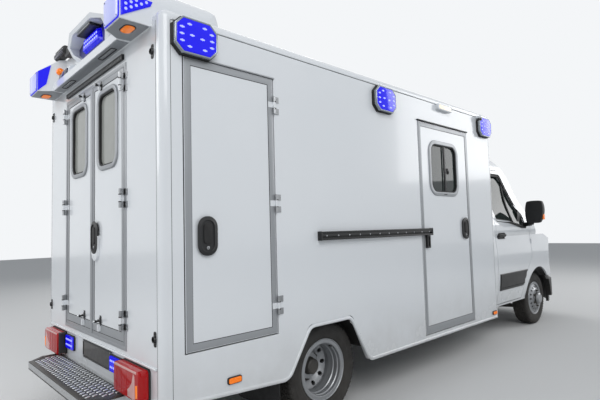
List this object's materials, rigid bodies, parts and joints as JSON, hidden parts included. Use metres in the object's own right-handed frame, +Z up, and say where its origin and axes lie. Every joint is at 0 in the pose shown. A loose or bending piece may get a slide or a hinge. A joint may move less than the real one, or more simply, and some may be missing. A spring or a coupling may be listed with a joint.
{
  "type": "box ambulance",
  "caption": "Two-axle ambulance with a short-nosed cab and a panelled box body, double rear doors, side lockers, blue warning lamps and a tread step.",
  "frame": {"origin": "on the ground, midway between the rear step's edge and the front bumper, on the centre line", "axes": "+X forward, +Y to the vehicle's left, +Z up"},
  "size_m": [6.91, 2.54, 2.9179],
  "materials": {
    "paint_white": "gloss white paint",
    "chassis_black": "satin black chassis paint",
    "cast_iron": "bare casting with a dark coat",
    "engine_alloy": "cast alloy",
    "plastic_black": "grained black moulding",
    "plastic_grey": "grained dark grey moulding",
    "exhaust_steel": "heat-dulled steel",
    "glass_clear": "laminated screen",
    "glass_tint": "tinted safety glass",
    "lens_clear": "clear moulded lens",
    "lens_blue": "blue moulded lens",
    "lens_amber": "amber moulded lens",
    "lens_red": "red moulded lens",
    "seat_cloth": "woven seat cloth",
    "panel_inner": "smooth laminate floor",
    "step_alloy": "pressed tread plate",
    "hinge_steel": "satin steel",
    "rim_silver": "silver wheel paint",
    "tyre": "rubber"
  },
  "bodies": {
    "root": {"ladder_frame": "chassis_black", "driveline": "cast_iron", "leaf_springs": "chassis_black", "front_suspension": "chassis_black", "engine": "engine_alloy", "fuel_tank": "plastic_black", "exhaust": "exhaust_steel", "cab_shell": "paint_white", "windscreen": "glass_clear", "front_fenders": "paint_white", "front_bumper": "plastic_black", "grille": "plastic_black", "headlamps": "lens_clear", "dashboard": "plastic_grey", "cab_seats": "seat_cloth", "steering_wheel": "plastic_grey", "box_floor": "panel_inner", "box_wall_right": "paint_white", "box_wall_left": "paint_white", "box_rear_wall": "paint_white", "box_front_wall": "paint_white", "box_roof": "paint_white", "corner_posts": "paint_white", "rear_hood": "paint_white", "shoulder_lamp": "plastic_black", "blue_lamps": "lens_blue", "marker_lamps": "lens_amber", "work_lights": "lens_clear", "tail_lamps": "lens_red", "rear_valance": "paint_white", "rear_step": "step_alloy", "slide_rail": "plastic_black", "sliding_door": "paint_white", "sliding_window": "glass_tint", "front_fairing": "paint_white", "wall_hinges": "hinge_steel"},
    "steer_left": {"knuckle_left": "cast_iron"},
    "steer_right": {"knuckle_right": "cast_iron"},
    "wheel_front_left": {"front_tyre_left": "tyre", "front_rim_left": "rim_silver"},
    "wheel_front_right": {"front_tyre_right": "tyre", "front_rim_right": "rim_silver"},
    "wheels_rear_left": {"rear_tyres_left": "tyre", "rear_rims_left": "rim_silver"},
    "wheels_rear_right": {"rear_tyres_right": "tyre", "rear_rims_right": "rim_silver"},
    "rear_leaf_left": {"rear_door_left": "paint_white", "rear_window_left": "glass_tint"},
    "rear_leaf_right": {"rear_door_right": "paint_white", "rear_window_right": "glass_tint"},
    "locker_leaf_left": {"locker_door_left": "paint_white"},
    "locker_leaf_right": {"locker_door_right": "paint_white"},
    "cab_leaf_left": {"cab_door_left": "paint_white", "cab_glass_left": "glass_tint", "mirror_left": "plastic_black"},
    "cab_leaf_right": {"cab_door_right": "paint_white", "cab_glass_right": "glass_tint", "mirror_right": "plastic_black"},
    "bonnet_lid": {"bonnet": "paint_white"}
  },
  "joints": [
    {"name": "steer_left", "type": "hinge", "parent": "root", "child": "steer_left", "pos_m": [2.451, 0.68, 0.35], "axis": [0, 0, 1], "range_deg": [-35, 35]},
    {"name": "steer_right", "type": "hinge", "parent": "root", "child": "steer_right", "pos_m": [2.451, -0.68, 0.35], "axis": [0, 0, 1], "range_deg": [-35, 35]},
    {"name": "spin_front_left", "type": "hinge", "parent": "steer_left", "child": "wheel_front_left", "pos_m": [2.451, 0.83, 0.35], "axis": [0, 1, 0], "continuous": true},
    {"name": "spin_front_right", "type": "hinge", "parent": "steer_right", "child": "wheel_front_right", "pos_m": [2.451, -0.83, 0.35], "axis": [0, 1, 0], "continuous": true},
    {"name": "spin_rear_left", "type": "hinge", "parent": "root", "child": "wheels_rear_left", "pos_m": [-1.874, 0.7825, 0.35], "axis": [0, 1, 0], "continuous": true},
    {"name": "spin_rear_right", "type": "hinge", "parent": "root", "child": "wheels_rear_right", "pos_m": [-1.874, -0.7825, 0.35], "axis": [0, 1, 0], "continuous": true},
    {"name": "rear_door_left_swing", "type": "hinge", "parent": "root", "child": "rear_leaf_left", "pos_m": [-3.22, 0.571, 1.58], "axis": [0, 0, -1], "range_deg": [0, 180]},
    {"name": "rear_door_right_swing", "type": "hinge", "parent": "root", "child": "rear_leaf_right", "pos_m": [-3.22, -0.571, 1.58], "axis": [0, 0, 1], "range_deg": [0, 180]},
    {"name": "locker_left_swing", "type": "hinge", "parent": "root", "child": "locker_leaf_left", "pos_m": [-2.376, 1.0795, 1.56], "axis": [0, 0, -1], "range_deg": [0, 120]},
    {"name": "locker_right_swing", "type": "hinge", "parent": "root", "child": "locker_leaf_right", "pos_m": [-2.376, -1.0795, 1.56], "axis": [0, 0, 1], "range_deg": [0, 120]},
    {"name": "cab_door_left_swing", "type": "hinge", "parent": "root", "child": "cab_leaf_left", "pos_m": [2.214, 1.003, 1.09], "axis": [0, 0, -1], "range_deg": [0, 70]},
    {"name": "cab_door_right_swing", "type": "hinge", "parent": "root", "child": "cab_leaf_right", "pos_m": [2.214, -1.003, 1.09], "axis": [0, 0, 1], "range_deg": [0, 70]},
    {"name": "bonnet_lift", "type": "hinge", "parent": "root", "child": "bonnet_lid", "pos_m": [2.721, 0, 1.236], "axis": [0, -1, 0], "range_deg": [0, 60]}
  ],
  "couplings": [
    {"joint": "steer_right", "follows": "steer_left", "ratio": 1}
  ]
}
